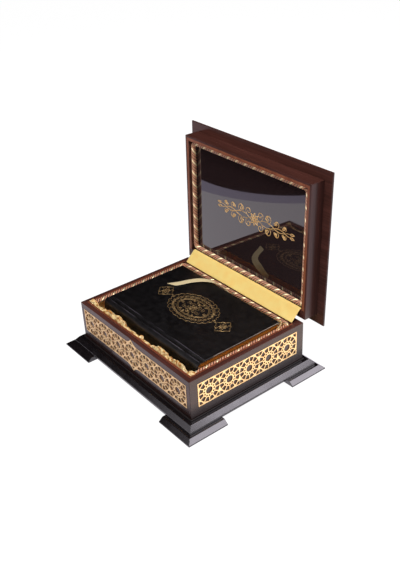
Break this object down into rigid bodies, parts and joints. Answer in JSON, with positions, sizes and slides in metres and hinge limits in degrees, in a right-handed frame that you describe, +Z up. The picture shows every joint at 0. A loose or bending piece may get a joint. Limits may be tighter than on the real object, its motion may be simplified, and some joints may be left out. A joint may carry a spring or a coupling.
{
  "type": "quran box",
  "caption": "Dark wooden box on a stepped plinth with corner feet, fretwork bands, rope trim and satin lining, its hinged lid open over a leather-bound book.",
  "frame": {"origin": "on the floor under the middle of the whole object with its lid open", "axes": "+Z up, +X to the right along the hinge line, front wall towards -Y, lid hinged at the back"},
  "size_m": [0.3534, 0.3064, 0.3397],
  "materials": {
    "black_lacquer": "gloss black lacquer",
    "case_wood": "satin lacquered dark wood",
    "fretwork": "polished pale gold plate",
    "satin": "gold satin",
    "hinge_satin": "gold satin ribbon",
    "rope": "twisted cream and brown rope",
    "hinge_brass": "plain brass",
    "lid_wood": "satin lacquered red-brown wood",
    "backing_board": "plain board",
    "black_panel": "mirror gloss black",
    "book_leather": "fine-grained black leather",
    "gilt_pages": "paper with gilt edges",
    "endband_thread": "wound thread",
    "bookmark_ribbon": "cream satin ribbon"
  },
  "bodies": {
    "case": {"foot_front_left": "black_lacquer", "foot_front_right": "black_lacquer", "foot_back_right": "black_lacquer", "foot_back_left": "black_lacquer", "plinth": "black_lacquer", "base_bead": "black_lacquer", "wall_front": "case_wood", "wall_right": "case_wood", "wall_back": "case_wood", "wall_left": "case_wood", "inlay_front": "fretwork", "inlay_right": "fretwork", "inlay_back": "fretwork", "inlay_left": "fretwork", "lining_front": "satin", "lining_right": "satin", "lining_back": "satin", "lining_left": "satin", "satin_bed": "satin", "satin_ruffle": "satin", "case_rope": "rope", "left_case_leaf": "hinge_brass", "right_case_leaf": "hinge_brass", "left_hinge_pin": "hinge_brass", "right_hinge_pin": "hinge_brass", "case_hinge_screws": "hinge_brass", "hinge_ribbon": "hinge_satin"},
    "lid": {"lid_wall_front": "lid_wood", "lid_wall_right": "lid_wood", "lid_wall_back": "lid_wood", "lid_wall_left": "lid_wood", "lid_cap": "lid_wood", "lid_backing": "backing_board", "lid_panel": "black_panel", "lid_rope": "rope", "left_lid_leaf": "hinge_brass", "right_lid_leaf": "hinge_brass", "lid_hinge_screws": "hinge_brass"},
    "book": {"book_top_cover": "book_leather", "book_bottom_cover": "book_leather", "book_spine": "hinge_brass", "book_pages": "gilt_pages", "book_endbands": "endband_thread", "bookmark": "bookmark_ribbon"}
  },
  "joints": [
    {"name": "lid_hinge", "type": "hinge", "parent": "case", "child": "lid", "pos_m": [0, 0.10831, 0.0903], "axis": [1, 0, 0], "range_deg": [0, 91.6], "deforming": ["hinge_ribbon", "satin_ruffle"]},
    {"name": "book_lift", "type": "slide", "parent": "case", "child": "book", "axis": [0, 0, 1], "range_m": [0, 0.15]}
  ]
}
